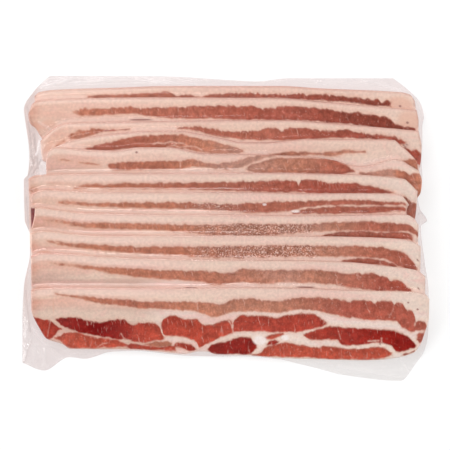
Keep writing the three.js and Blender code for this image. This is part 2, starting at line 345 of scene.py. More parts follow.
    "white_spots": [(22, 33.8, 4.2, 2.9), (38, 32, 2.4, 1.6)],
    "stains": [(-109.3, 12, 0.5, 4.5)],
    "pore_and_shadows": [(98.5, 34, 0.6, 0.6), (116, 7, 0.7, 0.5), (122, 11, 0.7, 0.6)],
}]


def curve(points, at):
    """A smooth line through given (place, value) points, which doesn't swing past them."""
    place, value = np.array(points, float).T
    if len(place) == 1:
        return np.full(np.shape(at), value[0])
    step = np.diff(place)
    grade = np.diff(value) / step
    tangent = np.concatenate([grade[:1], np.zeros(len(place) - 2), grade[-1:]])
    turns = grade[:-1] * grade[1:] <= 0
    steady = np.where(turns, 1, grade[:-1] + grade[1:])
    tangent[1:-1] = np.where(turns, 0, 2 * grade[:-1] * grade[1:] / steady)
    at = np.clip(at, place[0], place[-1])
    piece = np.clip(np.searchsorted(place, at) - 1, 0, len(step) - 1)
    t = (at - place[piece]) / step[piece]
    ends = value[piece] * (1 + 2 * t) * (1 - t) ** 2 + value[piece + 1] * t ** 2 * (3 - 2 * t)
    bend = tangent[piece] * t * (1 - t) ** 2 - tangent[piece + 1] * t ** 2 * (1 - t)
    return ends + bend * step[piece]


def smooth_step(low, high, value):
    t = np.clip((value - low) / (high - low), 0, 1)
    return t * t * (3 - 2 * t)


def unevenness(x, y, seed, longest):
    """Gentle waves that don't repeat, about one unit high. The longest wave is given in millimetres."""
    rng = np.random.default_rng(abs(int(seed)))
    height = 0
    for wave in range(7):
        length = longest * 0.75 ** wave
        heading = rng.uniform(0, 2 * np.pi)
        along = x * np.cos(heading) + y * np.sin(heading)
        height = height + 0.8 ** wave * np.sin(2 * np.pi * along / length + rng.uniform(0, 2 * np.pi))
    return height / 2


# Height of each strip. Its back edge lies on the strip behind, and from there it falls to the surface at
# its front.
ALONG = np.arange(-132, 132.25, 0.25)
STRIP_WAVES = 0.16


def upper_face(strip, x, y):
    back = np.interp(x, ALONG, strip["back_line"])
    crest = np.interp(x, ALONG, strip["crest"])
    fall = (crest - STRIP_THICKNESS) / STRIP_WIDTH
    return crest - fall * (back - y) + STRIP_WAVES * unevenness(x, y, strip["seed"], 60)


for number, strip in enumerate(STRIPS):
    strip["seed"] = number
    strip["back_line"] = curve(strip["back"], ALONG)
    front = strip.get("front")
    strip["front_line"] = curve(front, ALONG) if front else strip["back_line"] - STRIP_WIDTH
    strip["crest"] = np.full(ALONG.shape, STRIP_THICKNESS, float)
    if number:
        strip["crest"] = STRIP_THICKNESS + upper_face(STRIPS[number - 1], ALONG, strip["back_line"])


def edge_drop(strip, x, y, radius):
    """How far a strip's face has turned down towards its edges, from 0 on the face to 1 at the rim."""
    back = np.interp(x, ALONG, strip["back_line"])
    front = np.interp(x, ALONG, strip["front_line"])
    slant = np.interp(x, ALONG, np.hypot(1, np.gradient(strip["back_line"], ALONG)))
    depth = back - y
    sides = np.minimum((back - y) / slant, y - front)
    ends = np.minimum(x - curve(strip["left"], depth), curve(strip["right"], depth) - x)
    past_side = np.clip(1 - sides / radius, 0, None)
    past_end = np.clip(1 - ends / radius, 0, None)
    return 1 - np.sqrt(np.clip(1 - past_side ** 2 - past_end ** 2, 0, 1))


def on_strip(strip, x, y):
    back = np.interp(x, ALONG, strip["back_line"])
    front = np.interp(x, ALONG, strip["front_line"])
    depth = back - y
    across = (y <= back) & (y >= front)
    return across & (x >= curve(strip["left"], depth)) & (x <= curve(strip["right"], depth))


# Lean meat is laid down as bundles of fibre side by side. Along a muscle's upper edge they end in scallops,
# and thin seams of fat run down between them. They are widest at the right-hand end of a strip.
BUNDLE = 3.4
BUNDLE_GROWS = 4.5
BUNDLE_SPREAD = 0.6
SCALLOP = 1.5
SCALLOP_GROWS = 0.6
UNEVEN_TOPS = 0.6
SEAM_SLANT = 0.3
WAVY_EDGE = 0.35
SMOOTH_EDGE = 0.3  # share of the scallops on the broad muscles and on thin streaks
COVERED_BY = 5  # on the covered strips the broad muscles lie this much further forward, under the next strip


def from_line(points, x, y):
    """Distance of grid points from a line through given points."""
    nearest = np.full(x.shape, FAR)
    for (x0, y0), (x1, y1) in zip(points[:-1], points[1:]):
        along = ((x - x0) * (x1 - x0) + (y - y0) * (y1 - y0)) / ((x1 - x0) ** 2 + (y1 - y0) ** 2)
        share = np.clip(along, 0, 1)
        nearest = np.minimum(nearest, np.hypot(x - x0 - share * (x1 - x0), y - y0 - share * (y1 - y0)))
    return nearest


def spots(marks, x, depth):
    """Soft oval spots, each given as X, depth, half length and half height: 1 inside and 0 outside."""
    shown = np.zeros(x.shape)
    for centre, down, half_long, half_high in marks:
        away = np.hypot((x - centre) / half_long, (depth - down) / half_high)
        shown = np.maximum(shown, smooth_step(1.35, 0.65, away))
    return shown


def lean_of_strip(strip, x, depth):
    """For points of a strip: millimetres inside the lean, running number of the bundle, redness, and
    millimetres below the muscle's upper edge."""
    rng = np.random.default_rng(100 + strip["seed"])
    lobes = strip.get("lobes", 0.2)
    covered = 0 if "front" in strip else COVERED_BY
    muscles = [(muscle, strip.get("scallops", 0.55), 0) for muscle in strip["lean"]]
    muscles += [(muscle, SMOOTH_EDGE, 0) for muscle in strip.get("streaks", [])]
    muscles += [(muscle, SMOOTH_EDGE, covered) for muscle in LOWER_LEAN]
    inside = np.full(x.shape, -FAR)
    bundle, redness, below = np.zeros((3, *x.shape))
    for (reds, stations), ragged, forward in muscles:
        first, last = stations[0][0], stations[-1][0]
        seams = [first - 8]
        while seams[-1] < last + 8:
            wide = BUNDLE + BUNDLE_GROWS * lobes * smooth_step(20, 105, seams[-1])
            seams.append(seams[-1] + wide * np.clip(rng.lognormal(-0.15, BUNDLE_SPREAD), 0.25, 2.6))
        deepest = SCALLOP + SCALLOP_GROWS * lobes * smooth_step(30, 100, np.array(seams))
        notches = rng.uniform(0.1, 1, len(seams)) * deepest
        tops = rng.uniform(-UNEVEN_TOPS, UNEVEN_TOPS, len(seams))
        top = curve([(place, start) for place, start, end in stations], x) + forward
        bottom = curve([(place, end) for place, start, end in stations], x) + forward
        count = np.interp(x - SEAM_SLANT * (depth - top), seams, np.arange(len(seams)))
        between = np.abs(count % 1 * 2 - 1)
        notch = notches[np.clip(np.round(count).astype(int), 0, len(seams) - 1)]
        thin = ragged * np.clip((bottom - top) / 3.5, 0.15, 1)
        rise = np.interp(count - 0.5, np.arange(len(seams)), tops)
        top = top + thin * (notch * between ** 2.5 + rise)
        within = np.minimum(np.minimum(depth - top, bottom - depth), np.minimum(x - first, last - x))
        within = within + WAVY_EDGE * unevenness(x, depth, first, 13)
        nearer = within > inside
        inside = np.where(nearer, within, inside)
        bundle = np.where(nearer, count, bundle)
        redness = np.where(nearer, np.interp(x, np.linspace(first, last, len(reds)), reds), redness)
        below = np.where(nearer, depth - top, below)
    for half_wide, points in strip.get("fat_lines", []):
        inside = np.minimum(inside, from_line(points, x, depth) - half_wide)
    return inside, bundle, redness, below


def spaced(length, fine_to, fine, coarse):
    """Places from 0 to a length, close at both rims where the edge turns, and finer up to a given place."""
    rim = EDGE_RADIUS * np.array([0, 0.04, 0.16, 0.36, 0.64])
    turn = min(fine_to, length - EDGE_RADIUS)
    places = [rim, np.arange(EDGE_RADIUS, turn, fine)]
    rest = length - EDGE_RADIUS - turn
    if rest > coarse:
        places.append(turn + np.linspace(0, rest, int(rest / coarse) + 1, endpoint=False))
    return np.concatenate(places + [length - rim[::-1]])


def grid_faces(rows, columns, start=0):
    corner = np.arange(rows * columns).reshape(rows, columns) + start
    faces = np.stack([corner[:-1, :-1], corner[1:, :-1], corner[1:, 1:], corner[:-1, 1:]], -1)
    return faces.reshape(-1, 4).tolist()


COLUMN = 0.65
FRONT_COLUMN = 0.45
ROW = 0.45
HIDDEN_ROW = 4
COVERED_FROM = 20  # depth from which a strip lies under the next one
UNDER_EVERY = 6  # the lower face keeps one in so many rows
FROST = [((20, -9), (50, 21), 1), ((-10, 14), (20, 5), 0.85)]  # middle, reach along X and Y, and how dense


def make_strip(number, strip):
    is_front = "front" in strip
    depths = spaced(STRIP_WIDTH, STRIP_WIDTH if is_front else COVERED_FROM, ROW, HIDDEN_ROW)
    column = FRONT_COLUMN if is_front else COLUMN
    share = spaced(STRIP_LENGTH, STRIP_LENGTH, column, 1) / STRIP_LENGTH
    rows, columns = len(depths), len(share)
    left = curve(strip["left"], depths)[:, None]
    right = curve(strip["right"], depths)[:, None]
    x = left + (right - left) * share
    back = np.interp(x, ALONG, strip["back_line"])
    front = np.interp(x, ALONG, strip["front_line"])
    y = back - (back - front) * depths[:, None] / STRIP_WIDTH
    depth = back - y

    top = upper_face(strip, x, y)
    under = np.maximum(top - STRIP_THICKNESS, 0)
    for lower in STRIPS[:number]:
        under = np.where(on_strip(lower, x, y), np.maximum(under, upper_face(lower, x, y)), under)
    under = np.minimum(under, top - LEAST_PRESSED)
    turn = EDGE_TURN * (top - under) * edge_drop(strip, x, y, EDGE_RADIUS)
    inside, bundle, redness, below = lean_of_strip(strip, x, depth)
    hollow = LEAN_HOLLOW * smooth_step(-0.3, 0.5, inside)

    kept = sorted({*range(0, rows, UNDER_EVERY), rows - 1})
    upper_points = np.stack([x, y, top - turn - hollow], -1).reshape(-1, 3)
    lower_points = np.stack([x, y, under + turn], -1)[kept].reshape(-1, 3)
    faces = grid_faces(rows, columns)
    start = rows * columns
    faces += [face[::-1] for face in grid_faces(len(kept), columns, start)]
    last_lower = start + (len(kept) - 1) * columns
    last_upper = (rows - 1) * columns
    for column in range(columns - 1):
        faces.append([column, column + 1, start + column + 1, start + column])
        faces.append([last_upper + column + 1, last_upper + column,
                      last_lower + column, last_lower + column + 1])
    for row in range(len(kept) - 1):
        upper_side = [r * columns for r in range(kept[row], kept[row + 1] + 1)]
        lower_side = [start + (row + 1) * columns, start + row * columns]
        faces.append(upper_side[::-1] + lower_side[::-1])
        faces.append([v + columns - 1 for v in upper_side + lower_side])

    mesh = bpy.data.meshes.new(f"pork_strip_{number + 1:02d}")
    mesh.from_pydata(np.concatenate([upper_points, lower_points]) * MM, [], faces)
    mesh.shade_smooth()
    frost = np.zeros(x.shape)
    for (mid_x, mid_y), (reach_x, reach_y), dense in FROST:
        patch = dense * np.exp(-((x - mid_x) / reach_x) ** 2 - ((y - mid_y) / reach_y) ** 2)
        frost = np.maximum(frost, patch)
    rim = np.minimum(depth, np.minimum(x - left, right - x))
    of_point = {
        "lean": inside, "bundle": bundle, "redness": redness, "below": below,
        "frost": frost, "depth": depth, "rim": rim, "to_step": np.full(x.shape, FAR),
    }
    if not is_front:
        of_point["to_step"] = y - np.interp(x, ALONG, STRIPS[number + 1]["back_line"])
    for mark in ("white_spot", "stain", "pore_and_shadow"):
        of_point[mark] = spots(strip.get(mark + "s", []), x, depth)
    for name, values in of_point.items():
        column_values = np.concatenate([values.reshape(-1), values[kept].reshape(-1)])
        attribute = mesh.attributes.new(name, "FLOAT", "POINT")
        attribute.data.foreach_set("value", column_values)
    mesh.validate()
    return bpy.data.objects.new(mesh.name, mesh)


def add_node(tree, kind, inputs=None, **settings):
    made = tree.nodes.new(kind)
    for name, value in settings.items():
        setattr(made, name, value)
    for socket, value in (inputs or {}).items():
        if isinstance(value, bpy.types.NodeSocket):
            tree.links.new(value, made.inputs[socket])
        else:
            made.inputs[socket].default_value = value
    return made


def math_node(tree, operation, *values):
    return add_node(tree, "ShaderNodeMath", dict(enumerate(values)), operation=operation).outputs[0]


def product(tree, first, second):
    return math_node(tree, "MULTIPLY", first, second)


def ease(tree, value, low, high, to_low=0.0, to_high=1.0):
    inputs = {"Value": value, "From Min": low, "From Max": high, "To Min": to_low, "To Max": to_high}
    made = add_node(tree, "ShaderNodeMapRange", inputs, interpolation_type="SMOOTHSTEP")
    return made.outputs["Result"]


def mix_colour(tree, share, first, second, blend="MIX"):
    inputs = {0: share, 6: first, 7: second}
    made = add_node(tree, "ShaderNodeMix", inputs, data_type="RGBA", blend_type=blend)
    return made.outputs[2]


def noise(tree, at, scale, detail=3.0):
    inputs = {"Vector": at, "Scale": scale, "Detail": detail}
    return add_node(tree, "ShaderNodeTexNoise", inputs).outputs["Fac"]


def stretched(tree, at, scale):
    return add_node(tree, "ShaderNodeMapping", {"Vector": at, "Scale": scale}).outputs["Vector"]


# Colours of the fat from the left end of the pack to the right and where it is stained, with painted light
# and shade at its edges and steps, and of the lean from pale to dark red.
PACK_LENGTH = 0.26
FAT_ACROSS = [
    (0.0, (0.81, 0.48, 0.375, 1)),
    (0.25, (0.92, 0.69, 0.58, 1)),
    (0.5, (0.89, 0.69, 0.585, 1)),
    (0.72, (0.85, 0.66, 0.565, 1)),
    (0.95, (0.86, 0.74, 0.65, 1)),
]
FAT_EDGE_SHADE = (0.72, 0.46, 0.39, 1)
FAT_CREAM = (0.93, 0.8, 0.66, 1)
FAT_PINK = (0.9, 0.58, 0.52, 1)
FAT_BACK = (0.78, 0.54, 0.435, 1)
FAT_INNER_LEFT = (0.66, 0.48, 0.405, 1)
FAT_INNER = (0.92, 0.8, 0.745, 1)
FAT_CREST_LIGHT = (0.97, 0.78, 0.68, 1)
FAT_STEP_HIGHLIGHT = (0.97, 0.8, 0.72, 1)
FAT_STAINED = (0.8, 0.5, 0.38, 1)
FAT_STEP_SHADOW = (0.46, 0.26, 0.21, 1)
WHITE_SPOT = (1, 0.95, 0.92, 1)
PORE_AND_SHADOW = (0.4, 0.22, 0.19, 1)
SEAM_FAT = (0.78, 0.48, 0.4, 1)
LEAN_RIM = (0.36, 0.13, 0.09, 1)
LEAN_CHILLED = (0.29, 0.17, 0.14, 1)
ICE = (0.95, 0.78, 0.7, 1)
LEAN_ACROSS = [
    (0.0, (0.65, 0.36, 0.275, 1)),
    (0.12, (0.61, 0.258, 0.16, 1)),
    (0.25, (0.5, 0.18, 0.118, 1)),
    (0.42, (0.44, 0.116, 0.078, 1)),
    (0.58, (0.56, 0.1, 0.058, 1)),
    (0.72, (0.45, 0.066, 0.041, 1)),
    (0.86, (0.34, 0.025, 0.016, 1)),
    (1.0, (0.22, 0.004, 0.004, 1)),
]

pork = bpy.data.materials.new("Frozen pork belly")
pork.use_nodes = True
tree = pork.node_tree
skin = tree.nodes["Principled BSDF"]
place = add_node(tree, "ShaderNodeTexCoord").outputs["Object"]
across, along, _ = add_node(tree, "ShaderNodeSeparateXYZ", {"Vector": place}).outputs
inside, bundle, redness, below, frost, depth, rim, to_step, white_spot, stain, pore_and_shadow = (
    add_node(tree, "ShaderNodeAttribute", attribute_name=name).outputs["Fac"]
    for name in ("lean", "bundle", "redness", "below", "frost", "depth", "rim", "to_step",
                 "white_spot", "stain", "pore_and_shadow")
)


def colour_ramp(tree, value, colours):
    made = add_node(tree, "ShaderNodeValToRGB", {"Fac": value})
    while len(made.color_ramp.elements) < len(colours):
        made.color_ramp.elements.new(1)
    for element, (position, colour) in zip(made.color_ramp.elements, colours):
        element.position = position
        element.color = colour
    return made.outputs["Color"]


def shaded(tree, colour, grey):
    inputs = {"Red": grey, "Green": grey, "Blue": grey}
    shade = add_node(tree, "ShaderNodeCombineColor", inputs).outputs["Color"]
    return mix_colour(tree, 1.0, colour, shade, "MULTIPLY")


# The edge of the lean is ragged, with fat between the ends of the fibres.
uneven = math_node(tree, "SUBTRACT", noise(tree, place, 500, 4), 0.5)
ragged = product(tree, uneven, ease(tree, across, -0.07, -0.105, 1.2, 1.6))
lean_inside = math_node(tree, "ADD", inside, ragged)
is_lean = ease(tree, lean_inside, -0.55, 0.5)
deep_red = ease(tree, redness, 0.3, 0.5)
tip = math_node(tree, "MAXIMUM", ease(tree, across, -0.108, -0.085, 0.1, 1), deep_red)
is_lean = product(tree, is_lean, ease(tree, noise(tree, place, 160, 3), 0.4, 0.58, tip, 1))

# Fat is painted lightest just in front of its back edge, as light on the crest, lies in thin layers, and is
# stained by the lean next to it.
mottle = noise(tree, place, 55, 4)
blotches = math_node(tree, "MULTIPLY_ADD", mottle, 0.3, 0.35)
from_left = math_node(tree, "MULTIPLY_ADD", across, 1 / PACK_LENGTH, blotches)
fat = colour_ramp(tree, from_left, FAT_ACROSS)
layers = noise(tree, stretched(tree, place, (16, 150, 150)), 1, 3)
inner = mix_colour(tree, ease(tree, across, -0.06, -0.03), FAT_INNER_LEFT, FAT_INNER)
fat = mix_colour(tree, ease(tree, depth, 9, 16, 0, 0.8), fat, inner)
fat = mix_colour(tree, ease(tree, layers, 0.45, 0.65, 0, 0.5), fat, FAT_CREAM)
fat = mix_colour(tree, ease(tree, layers, 0.48, 0.32, 0, 0.55), fat, FAT_PINK)
fat = mix_colour(tree, ease(tree, noise(tree, place, 160, 4), 0.52, 0.72, 0, 0.4), fat, FAT_PINK)
fat = mix_colour(tree, ease(tree, along, 0.03, 0.055, 0, 0.4), fat, FAT_BACK)
# Painted light on the crest just in front of each strip's back edge.
crest_ends = math_node(tree, "ADD", depth, ease(tree, along, 0.035, 0.06, 0, 2.2))
painted_crest_light = product(tree, ease(tree, depth, 0.3, 1.8), ease(tree, crest_ends, 6.2, 3.8))
painted_crest_light = product(tree, painted_crest_light, ease(tree, across, -0.07, -0.01, 0.8, 0.25))
fat = mix_colour(tree, painted_crest_light, fat, FAT_CREST_LIGHT)
# Painted shade on the fat within about 2 mm of a strip's back edge and ends, weaker near the ends of the
# pack and stronger towards its back.
off_middle = math_node(tree, "ABSOLUTE", across)
edge_shade_share = product(tree, ease(tree, off_middle, 0.06, 0.1, 0.85, 0.5),
                    ease(tree, along, -0.01, 0.06, 0.75, 1.6))
painted_edge_shade = product(tree, ease(tree, rim, 2.3, -0.3), edge_shade_share)
fat = mix_colour(tree, painted_edge_shade, fat, FAT_EDGE_SHADE)
# Painted highlight on the fat just in front of each step, where the film bridges its foot.
fat = mix_colour(tree, ease(tree, to_step, 3.0, 1.4, 0, 0.6), fat, FAT_STEP_HIGHLIGHT)
fat = mix_colour(tree, ease(tree, lean_inside, -2.4, 0, 0, 0.45), fat, FAT_STAINED)
fat = mix_colour(tree, ease(tree, lean_inside, -0.8, 0, 0, 0.5), fat, FAT_STAINED)
fat = shaded(tree, fat, ease(tree, noise(tree, place, 620, 4), 0.3, 0.7, 0.93, 1.06))
# Painted shadow along the very back edge of each strip, where it steps up on to the one behind, stronger to
# the right.
painted_step_shadow = product(tree, ease(tree, noise(tree, place, 35, 4), 0.35, 0.6, 0.15, 0.5),
                ease(tree, across, -0.03, 0.04, 0.2, 1))
painted_step_shadow = product(tree, ease(tree, depth, 1.1, 0.0), painted_step_shadow)
painted_step_shadow = product(tree, painted_step_shadow, ease(tree, along, 0.0845, 0.0835))
painted_step_shadow = product(tree, painted_step_shadow, edge_shade_share)
fat = mix_colour(tree, painted_step_shadow, fat, FAT_STEP_SHADOW)
fat = mix_colour(tree, product(tree, stain, 0.6), fat, FAT_STAINED)

# Lean is mottled, greyer where it is pale in the right half and darkest at the back right, with a browner
# upper edge, painted shading that darkens the top of each muscle and lightens it lower down, painted shade
# at the foot of each step, and marbled with fat between its bundles.
fibre = noise(tree, stretched(tree, place, (900, 330, 330)), 1, 3)
tone = math_node(tree, "MULTIPLY_ADD", noise(tree, place, 260, 4), 0.15, -0.075)
lean = colour_ramp(tree, math_node(tree, "ADD", redness, tone), LEAN_ACROSS)
chilled = product(tree, ease(tree, across, -0.03, 0.015, 0, 0.22), ease(tree, across, 0.09, 0.075))
chilled = product(tree, chilled, ease(tree, redness, 0.3, 0.16))
lean = mix_colour(tree, chilled, lean, LEAN_CHILLED)
lean = shaded(tree, lean, ease(tree, fibre, 0.3, 0.7, 0.92, 1.07))
# Painted shade at the top of each muscle and painted light lower down, so that it looks rounded.
lean = shaded(tree, lean, ease(tree, below, 0, 9, 0.92, 1.1))
at_back = product(tree, ease(tree, along, 0.055, 0.066, 0, 0.38), ease(tree, across, 0.03, 0.09))
lean = shaded(tree, lean, math_node(tree, "SUBTRACT", 1.0, at_back))
for scale, detail, darkest, lightest in ((150, 2, 0.9, 1.08), (300, 3, 0.88, 1.11), (900, 3, 0.9, 1.1)):
    lean = shaded(tree, lean, ease(tree, noise(tree, place, scale, detail), 0.3, 0.7, darkest, lightest))
top_edge = math_node(tree, "ADD", below, ragged)
browned = product(tree, ease(tree, top_edge, 1.4, 0.2), ease(tree, across, -0.06, 0.02, 0.05, 0.3))
lean = mix_colour(tree, browned, lean, LEAN_RIM)
# Painted shade on the lean at the foot of each step.
lean = shaded(tree, lean, ease(tree, to_step, 2.5, 0.4, 1, 0.86))
lean = mix_colour(tree, ease(tree, lean_inside, 1.0, 0.0, 0, 0.3), lean, SEAM_FAT)
wander = math_node(tree, "MULTIPLY_ADD", noise(tree, place, 250, 3), 0.7, bundle)
seam_near = ease(tree, math_node(tree, "PINGPONG", wander, 0.5), 0.08, 0.02)
seam_shown = ease(tree, noise(tree, place, 120, 2), 0.54, 0.7, 0, 0.6)
lean = mix_colour(tree, product(tree, seam_near, seam_shown), lean, SEAM_FAT)
flecks = noise(tree, stretched(tree, place, (700, 480, 480)), 1, 5)
fleck_share = product(tree, ease(tree, flecks, 0.58, 0.78), ease(tree, redness, 0.5, 0.8, 0.5, 0.17))
lean = mix_colour(tree, fleck_share, lean, SEAM_FAT)
threads = noise(tree, stretched(tree, place, (650, 130, 130)), 1, 4)
marbled = product(tree, ease(tree, threads, 0.6, 0.74, 0, 0.45), ease(tree, redness, 0.45, 0.6))
lean = mix_colour(tree, marbled, lean, SEAM_FAT)

# Frost has grown in fine grains on the lean in the middle of the pack. The grains take the white of ice,
# partly as painted light, with painted shade in the gaps between them.
meat = mix_colour(tree, is_lean, fat, lean)
grains = noise(tree, place, 1250, 1)
clumps = math_node(tree, "MULTIPLY_ADD", noise(tree, place, 90, 3), 0.8, frost)
patch = product(tree, ease(tree, clumps, 0.7, 1.15), is_lean)
# Painted shade between the frost grains.
painted_grain_shade = product(tree, patch, ease(tree, grains, 0.52, 0.32, 0, 0.42))
meat = shaded(tree, meat, math_node(tree, "SUBTRACT", 1.0, painted_grain_shade))
lit_frost_grains = product(tree, patch, ease(tree, grains, 0.53, 0.66, 0, 0.7))
meat = mix_colour(tree, lit_frost_grains, meat, ICE)
white_spot = product(tree, white_spot, ease(tree, noise(tree, place, 500, 4), 0.3, 0.6, 0.6, 1))
meat = mix_colour(tree, white_spot, meat, WHITE_SPOT)
# Dark ovals: pores, and painted shadows in the gaps at the foot of a step.
meat = mix_colour(tree, pore_and_shadow, meat, PORE_AND_SHADOW)
tree.links.new(meat, skin.inputs["Base Color"])
tree.links.new(ease(tree, is_lean, 0, 1, 0.42, 0.55), skin.inputs["Roughness"])
skin.inputs["Specular IOR Level"].default_value = 0.05
grain = math_node(tree, "ADD", product(tree, fibre, is_lean), noise(tree, place, 900, 2))
bump = add_node(tree, "ShaderNodeBump", {"Height": grain, "Strength": 0.25, "Distance": 0.0003})
tree.links.new(bump.outputs["Normal"], skin.inputs["Normal"])

for number, strip in enumerate(STRIPS):
    piece = make_strip(number, strip)
    bpy.context.collection.objects.link(piece)
    piece.data.materials.append(pork)
    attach(piece, "root")
    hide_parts("sealed_bag")

# Vacuum bag
# A flat bag of clear film, sealed all round. The vacuum draws the upper film down over the strips, so that
# it bridges the foot of each step in a small curve, and leaves loose flaps with soft creases outside the
# meat.

LEFT_SEAM = [(-98, -130), (-72, -130), (-46, -129), (-20, -125), (-10, -125), (0, -128.5), (27, -129),
             (31, -126.5), (44, -125.5), (66, -128), (75, -129), (88, -122), (98, -112)]
RIGHT_SEAM = [(-98, 113), (-96, 118), (-93, 124), (-88, 127), (-80, 129.2), (-68, 130), (-48, 130),
              (-27, 127.5), (-3, 125), (1, 129), (9, 124.5), (18, 123), (31, 126), (41, 125.5), (53, 126),
              (65, 126), (71, 127), (80, 125), (89, 118), (98, 107)]
BACK_SEAM = [(-112, 97.6), (-40, 97.2), (0, 95), (20, 94), (40, 96), (107, 96)]
FRONT_SEAM = [(-130, -86), (-116, -91), (-100, -82.5), (-90, -83.5), (-73, -79), (-58, -78.5), (-36, -80.5),
              (-26, -81.5), (-6, -82), (12, -82), (35, -84), (46, -86.5), (60, -90), (76, -94), (112, -97.6),
              (123.5, -88)]
FILM_HALF = 97.6  # half the bag's width, from the front seam to the back
FILM_CURVE = 2.0  # radius of the film where it bridges the foot of a step
FILM_TURN = 0.4  # and where it is drawn tight over a strip's edge
FILM_GAP = 0.16
FLAP_LIFT = 0.35
CREASE = 0.55
CREASE_APART = 6.5
FOLD_WIDTH = 0.9
CELL = 0.4
FLAP_CELLS = 60  # how far out from the meat the flaps are measured

# Height of everything under the film on a fine grid, then of film that can't bend tighter than its curve.
grid_x = np.arange(-134, 134 + CELL, CELL)
grid_y = np.arange(-101, 101 + CELL, CELL)
x, y = np.meshgrid(grid_x, grid_y)
meat_height = np.zeros(x.shape)
for strip in STRIPS:
    top = upper_face(strip, x, y) - EDGE_TURN * STRIP_THICKNESS * edge_drop(strip, x, y, FILM_TURN)
    meat_height = np.where(on_strip(strip, x, y), np.maximum(meat_height, top), meat_height)


def shifted(height, axis, cells):
    """The same grid moved along an axis, with its border carried on."""
    picked = np.clip(np.arange(height.shape[axis]) + cells, 0, height.shape[axis] - 1)
    return np.take(height, picked, axis)


def bridge(height, radius):
    """Rolls a curve of this radius over a height grid: raises what it can't reach, and leaves the rest."""
    reach = int(np.sqrt(2 * radius * height.max()) / CELL)
    for choose, sign in ((np.maximum, -1), (np.minimum, 1)):
        for axis in (0, 1):
            rolled = height
            for cells in range(-reach, reach + 1):
                curved = sign * (cells * CELL) ** 2 / (2 * radius)
                rolled = choose(rolled, shifted(height, axis, cells) + curved)
            height = rolled
    return height


def soften(height, times):
    for _ in range(times):
        for axis in (0, 1):
            height = (shifted(height, axis, -1) + 2 * height + shifted(height, axis, 1)) / 4
    return height


off_meat = np.where(meat_height > 0, 0, FAR)
for _ in range(FLAP_CELLS):
    near = off_meat
    for axis in (0, 1):
        for way in (-1, 1):
            near = np.minimum(near, shifted(off_meat, axis, way) + CELL)
    off_meat = near

# Folds of the film: from (X, Y) to (X, Y), how high, and how strong a painted highlight runs along the fold,
# or with a minus how strong a painted shade runs along it.
FOLDS = [
    ((-126, 68), (-124, 44), 0.4, -0.7), ((-122.5, 60), (-119.5, 38), 0.4, -0.8),
    ((-120, 50), (-127, 30), 0.4, -0.7), ((-117.5, 44), (-123, 34), 0.3, -0.8),
    ((-127, 20), (-125.5, 0), 0.3, -0.6), ((-127.5, -40), (-125, -66), 0.3, -0.5),
    ((-124, -72), (-129, -86), 0.3, -0.4), ((-127, 78), (-123, 66), 0.3, -0.5),
    ((-115, -75), (-116.5, -89.5), 0.35, 0.3), ((-130, -75), (-117, -75), 0.3, 0.2),
    ((-125, -27), (-127, -68), 0.5, 0.3), ((-127, -60), (-104, -86), 0.5, 0.3),
    ((-118.7, 55.5), (-121, 46.5), 0.7, 1.0), ((-128, 62), (-125, 40), 0.5, 0.4),
    ((-121, 44), (-115, 40), 0.5, 0.5), ((-120, 40), (-116, 34), 0.5, 0.4),
    ((-117, 45), (-121, 36), 0.5, 0.5), ((-119, 67.5), (-112, 63.5), 0.5, 0.35),
    ((-119, 90), (-96, 96), 0.5, 0.5), ((-112, 92), (-60, 95), 0.5, 0.5),
    ((-80, 96), (-20, 92), 0.35, 0.4), ((88, 95), (113, 88), 0.6, 0.4),
    ((60, 93), (100, 93), 0.3, 0.3), ((121, 85), (126, 70), 0.5, 0.4),
    ((126, 12), (123, -8), 0.4, 0.5), ((70, -88), (110, -95), 0.35, 0.3),
    ((112, -84), (118, -93), 0.4, 0.4),
]
bend = unevenness(x, y, 7, 70)
crease = np.abs(np.sin(np.pi * (off_meat / CREASE_APART + 0.7 * bend))) ** 2
crease = CREASE * (1 - crease) * smooth_step(1, 5, off_meat) * (0.6 + 0.4 * unevenness(x, y, 8, 40))
film_height = soften(bridge(meat_height, FILM_CURVE), 1) + FILM_GAP
film_height = film_height + smooth_step(0, 3, off_meat) * FLAP_LIFT + np.clip(crease, 0, None)
# Painted highlight along the crests of the creases in the flaps.
fold_highlight_and_shade = 0.25 * np.clip(crease / CREASE, 0, 1)
for start, end, rise, white in FOLDS:
    ridge = np.exp(-(from_line([start, end], x, y) / FOLD_WIDTH) ** 2)
    film_height = film_height + rise * ridge
    fold_highlight_and_shade = np.where(np.abs(white) * ridge > np.abs(fold_highlight_and_shade), white * ridge, fold_highlight_and_shade)

# The film's mesh: rows from back to front and columns from left to right, pulled out to the seams.
film_columns = np.concatenate([
    np.linspace(0, 0.06, 22, endpoint=False),
    np.linspace(0.06, 0.94, 170, endpoint=False),
    np.linspace(0.94, 1, 23),
])
film_rows = np.linspace(1, 0, 420)
straight_y = -FILM_HALF + 2 * FILM_HALF * film_rows[:, None]
left = curve(LEFT_SEAM, straight_y)
right = curve(RIGHT_SEAM, straight_y)
x = left + (right - left) * film_columns
back = curve(BACK_SEAM, x)
front = curve(FRONT_SEAM, x)
y = front + (back - front) * film_rows[:, None]


def read_grid(height, x, y):
    across = (x - grid_x[0]) / CELL
    along = (y - grid_y[0]) / CELL
    column = np.floor(across).astype(int)
    row = np.floor(along).astype(int)
    u, v = across - column, along - row
    near = height[row, column] * (1 - u) + height[row, column + 1] * u
    far = height[row + 1, column] * (1 - u) + height[row + 1, column + 1] * u
    return near * (1 - v) + far * v


from_seam = np.minimum(np.minimum(x - left, right - x), np.minimum(y - front, back - y))
flat_at_seam = smooth_step(0, 2.5, from_seam)
z = FILM_GAP + (read_grid(film_height, x, y) - FILM_GAP) * flat_at_seam
z = np.maximum(z, read_grid(meat_height, x, y) + FILM_GAP)

